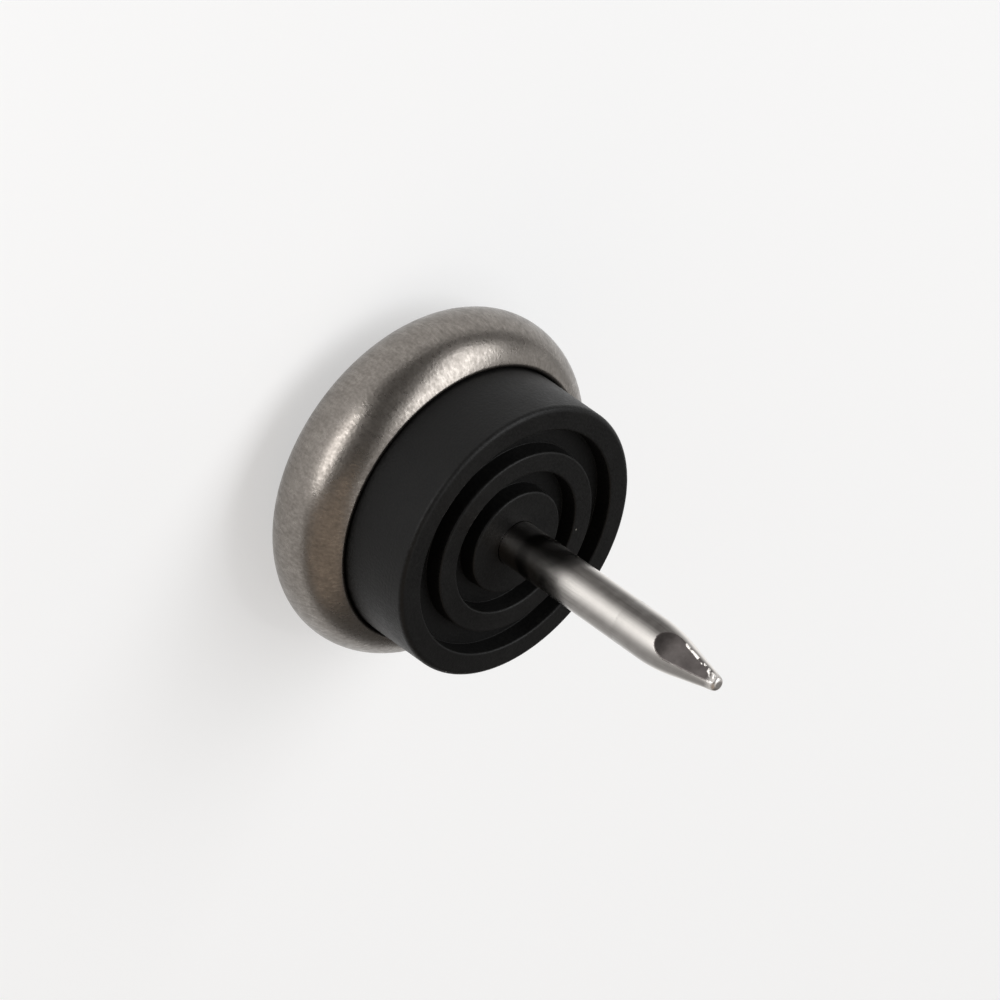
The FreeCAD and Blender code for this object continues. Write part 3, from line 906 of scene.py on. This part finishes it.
@dataclass
class Nail:
    """The wire nail: head and grip rings inside the body, plain shank, and a round taper with two flats."""

    radius: float = 1.275
    head_radius: float = 2.75
    head_floor: float = 0.98
    head_thickness: float = 1.1
    head_edge: float = 0.2
    head_step: float = 15.0
    face_height: float = 10.6
    grip_count: int = 8
    grip_land: float = 0.2
    grip_depth: float = 0.12
    tip_height: float = 26.2
    taper_length: float = 3.95
    taper_blend: float = 10.0
    tip_radius: float = 0.37
    tip_edge: float = 0.25
    tip_step: float = 6.0
    flats: int = 2
    flat_length: float = 4.1
    flat_straight: float = 3.0
    flat_tip: float = 0.36
    flat_bend: float = 0.79
    burr_height: float = 0.06
    burr_width: float = 0.07
    burr_size: float = 0.35
    mark_height: float = 19.4
    mark_width: float = 0.1
    mark_depth: float = 0.014
    point_step: float = 0.04
    segments: int = 192

    def _grip(self, start: float) -> list[Point]:
        """Draws the grip rings on the shank.

        Args:
            start: The height of the head's upper face.

        Returns:
            The points from there up to the seating face.
        """
        pitch = (self.face_height - start) / self.grip_count
        points = []
        for ring in range(self.grip_count):
            low = start + ring * pitch + self.grip_land
            high = start + (ring + 1) * pitch
            middle = (low + high) / 2
            points += [(self.radius, low), (self.radius - self.grip_depth, middle), (self.radius, high)]
        return points

    def _point(self) -> list[Point]:
        """Draws the blend from the shank, the taper and the rounded tip.

        Returns:
            The points up to the axis, in steps small enough for the flats.
        """
        slope = (self.radius - self.tip_radius) / self.taper_length
        lean = math.atan(slope)
        first = self.tip_height - self.taper_length - self.taper_blend * math.tan(lean / 2)
        blend_end = first + self.taper_blend * math.sin(lean)
        last = self.tip_height - self.tip_edge * (1.0 - math.sin(lean))
        count = round((last - first) / self.point_step)
        points = []
        for i in range(count):
            height = first + (last - first) * i / count
            radius = self.tip_radius + slope * (self.tip_height - height)
            if height < blend_end:
                across = math.sqrt(self.taper_blend**2 - (height - first) ** 2)
                radius = self.radius - self.taper_blend + across
            points.append((radius, height))
        side = self.tip_radius + slope * self.tip_edge - self.tip_edge / math.cos(lean)
        tip_centre = (side, self.tip_height - self.tip_edge)
        points += arc(tip_centre, self.tip_edge, math.degrees(lean), 90.0, self.tip_step)
        return points + [(0.0, self.tip_height)]

    def section(self) -> list[Point]:
        """Draws the nail's section.

        Returns:
            The points from the axis under the head to the axis at the tip.
        """
        head_top = self.head_floor + self.head_thickness
        edge = self.head_radius - self.head_edge
        low_rim = (edge, self.head_floor + self.head_edge)
        high_rim = (edge, head_top - self.head_edge)
        points = [(0.0, self.head_floor)]
        points += arc(low_rim, self.head_edge, -90.0, 0.0, self.head_step)
        points += arc(high_rim, self.head_edge, 0.0, 90.0, self.head_step)
        points += [(self.radius, head_top)] + self._grip(head_top)
        for height, depth in ((-HALF, 0.0), (0.0, self.mark_depth), (HALF, 0.0)):
            points.append((self.radius - depth, self.mark_height + height * self.mark_width))
        return hold(points) + self._point()

    def _cut(self) -> dict[str, float]:
        """Works out a flat, whose bend is tangent to its straight part and ends on the shank.

        Returns:
            The number inputs of the flats' tree.
        """
        start = Vector((self.flat_bend, self.tip_height - self.flat_straight))
        along = Vector((self.flat_tip, self.tip_height)) - start
        outward = Vector((along.y, -along.x)).normalized()
        runout = Vector((self.radius, self.tip_height - self.flat_length)) - start
        bend = runout.length_squared / (2 * runout.dot(outward))
        centre = start + outward * bend
        return {
            "Flats": float(self.flats),
            "Start height": start.y * MM,
            "Start distance": start.x * MM,
            "Slope": -along.x / along.y,
            "Centre height": centre.y * MM,
            "Centre distance": centre.x * MM,
            "Bend radius": bend * MM,
            "End height": (self.tip_height - self.tip_edge) * MM,
            "Burr height": self.burr_height * MM,
            "Burr width": self.burr_width * MM,
            "Burr size": self.burr_size * MM,
        }

    def build(self, lathe: Lathe, finish: Material) -> None:
        """Turns the nail, cuts its flats and places it.

        Args:
            lathe: What turns and cuts it.
            finish: Its material.
        """
        piece = lathe.turn("wire_nail", self.section(), self.segments, finish)
        lathe.cut_flats(piece, self._cut() | {"Finish": finish})
        place(piece, "nail")


@dataclass(frozen=True)
class View:
    """The photograph's view: a long lens above the seating face, rolled so that the nail points right.

    Angles are in degrees and lengths in millimetres, apart from the two clip limits, which are in metres.
    """

    azimuth: float = 101.6
    elevation: float = 36.1
    nail_dip: float = 35.1
    face_height: float = 10.6
    distance: float = 395.0
    face_pixel: Point = (516.6, 542.65)
    pixels_per_mm: float = 19.1
    frame: float = 1000.0
    sensor: float = 36.0
    clip: Point = (0.01, 20.0)

    def direction(self, aside: float, elevation: float) -> Vector:
        """Returns the direction at an angle to the camera's right, seen from the part, and an elevation."""
        turn, climb = math.radians(self.azimuth + aside), math.radians(elevation)
        return Vector((math.sin(turn) * math.cos(climb), -math.cos(turn) * math.cos(climb), math.sin(climb)))

    def build(self) -> None:
        """Sets the scene's camera, with the middle of the seating face at its pixel."""
        data = bpy.data.cameras.new("camera")
        camera = bpy.data.objects.new("camera", data)
        bpy.context.scene.collection.objects.link(camera)
        back = self.direction(0.0, self.elevation)
        level = Vector((math.cos(math.radians(self.azimuth)), math.sin(math.radians(self.azimuth)), 0.0))
        upright = back.cross(level)
        roll = math.radians(90.0 + self.nail_dip)
        right = level * math.cos(roll) + upright * math.sin(roll)
        up = upright * math.cos(roll) - level * math.sin(roll)
        across = (self.face_pixel[0] - self.frame / 2) / self.pixels_per_mm
        down = (self.face_pixel[1] - self.frame / 2) / self.pixels_per_mm
        spot = Vector((0.0, 0.0, self.face_height)) - right * across + up * down + back * self.distance
        turn = Matrix((right, up, back)).transposed().to_4x4()
        camera.matrix_world = Matrix.Translation(spot * MM) @ turn
        data.sensor_width = self.sensor
        data.lens = self.distance * self.pixels_per_mm / self.frame * self.sensor
        data.clip_start, data.clip_end = self.clip
        bpy.context.scene.camera = camera


@dataclass(frozen=True)
class Softbox:
    """An area lamp that faces the part, placed by its direction from the camera's side.

    Its level is how bright its face looks, where 1 is white. Its lengths are in metres.
    """

    name: str
    aside: float
    elevation: float
    width: float
    height: float
    level: float
    tint: Tint = Tint.NEUTRAL
    distance: float = 0.4
    aim: float = 0.008

    def build(self, view: View) -> None:
        """Adds the lamp to the scene.

        Args:
            view: The view that its direction is measured from.
        """
        data = bpy.data.lights.new(self.name, "AREA")
        data.shape = "RECTANGLE"
        data.size, data.size_y = self.width, self.height
        data.energy = self.level * math.pi * self.width * self.height
        data.color = self.tint.value
        lamp = bpy.data.objects.new(self.name, data)
        bpy.context.scene.collection.objects.link(lamp)
        lamp.visible_camera = False
        away = view.direction(self.aside, self.elevation)
        lamp.location = Vector((0.0, 0.0, self.aim)) + away * self.distance
        lamp.rotation_mode = "QUATERNION"
        lamp.rotation_quaternion = away.to_track_quat("Z", "Y")


@dataclass(frozen=True)
class Studio:
    """The pale floor, the soft lamps and the dim room round them.

    What the camera and the metal see of the floor is white to the stated share, and the rest keeps the
    shadow.
    """

    floor_colour: Colour = (0.94, 0.94, 0.94)
    floor_white: float = 0.5
    floor_size: float = 8.0
    room: Colour = (0.13, 0.125, 0.12)
    lamps: tuple[Softbox, ...] = (
        Softbox("key", aside=-90.0, elevation=50.0, width=0.25, height=0.4, level=4.0, tint=Tint.COOL),
        Softbox(
            "front", aside=15.0, elevation=7.0, width=0.096, height=0.029, level=6.0, distance=0.12, aim=0.0
        ),
        Softbox("top", aside=180.0, elevation=80.0, width=0.3, height=0.3, level=0.9),
        Softbox("right", aside=80.0, elevation=38.0, width=0.55, height=0.45, level=0.38, tint=Tint.WARM),
        Softbox("left", aside=-145.0, elevation=22.0, width=0.3, height=0.25, level=0.6),
    )

    def _paper(self) -> Material:
        """Makes the floor's material.

        Returns:
            The material.
        """
        material = bpy.data.materials.new("floor_paper")
        material.use_nodes = True
        surface = material.node_tree.nodes["Principled BSDF"]
        surface.inputs["Base Color"].default_value = (*self.floor_colour, 1.0)
        surface.inputs["Roughness"].default_value = 1.0
        surface.inputs["Specular IOR Level"].default_value = 0.0
        graph = Graph(material.node_tree)
        path = graph.add("ShaderNodeLightPath").outputs
        seen = graph.math("MAXIMUM", path["Is Camera Ray"], path["Is Glossy Ray"])
        seen = graph.math("MAXIMUM", seen, path["Is Transmission Ray"])
        share = graph.math("MULTIPLY", seen, self.floor_white)
        white = graph.add("ShaderNodeEmission", {"Strength": 1.0}).outputs[0]
        mixed = graph.add("ShaderNodeMixShader", {0: share, 1: surface.outputs[0], 2: white}).outputs[0]
        graph.tree.links.new(mixed, graph.tree.nodes["Material Output"].inputs["Surface"])
        return material

    def _floor(self) -> None:
        """Lays the floor under the part."""
        half = self.floor_size / 2
        mesh = bpy.data.meshes.new("floor")
        corners = [(-half, -half, 0.0), (half, -half, 0.0), (half, half, 0.0), (-half, half, 0.0)]
        mesh.from_pydata(corners, [], [(0, 1, 2, 3)])
        mesh.materials.append(self._paper())
        floor = bpy.data.objects.new("floor", mesh)
        bpy.context.scene.collection.objects.link(floor)

    def build(self, view: View) -> None:
        """Sets the floor, the lamps and the room.

        Args:
            view: The view that the lamps are placed by.
        """
        self._floor()
        for lamp in self.lamps:
            lamp.build(view)
        world = bpy.data.worlds.new("room")
        world.use_nodes = True
        world.node_tree.nodes["Background"].inputs["Color"].default_value = (*self.room, 1.0)
        bpy.context.scene.world = world


def main() -> None:
    """Builds the pieces, their finishes, the camera and the studio."""
    logging.basicConfig(level=logging.INFO, format="%(message)s")
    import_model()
    bpy.context.scene.view_settings.view_transform = "Standard"
    effects = Effects()
    lathe = Lathe()
    SteelCap().build(lathe, SatinSteel().build(effects))
    PlasticBody().build(lathe, BlackPlastic().build(effects))
    Nail().build(lathe, BrightSteel().build(effects))
    view = View()
    view.build()
    Studio().build(view)


if __name__ == "__main__":
    main()
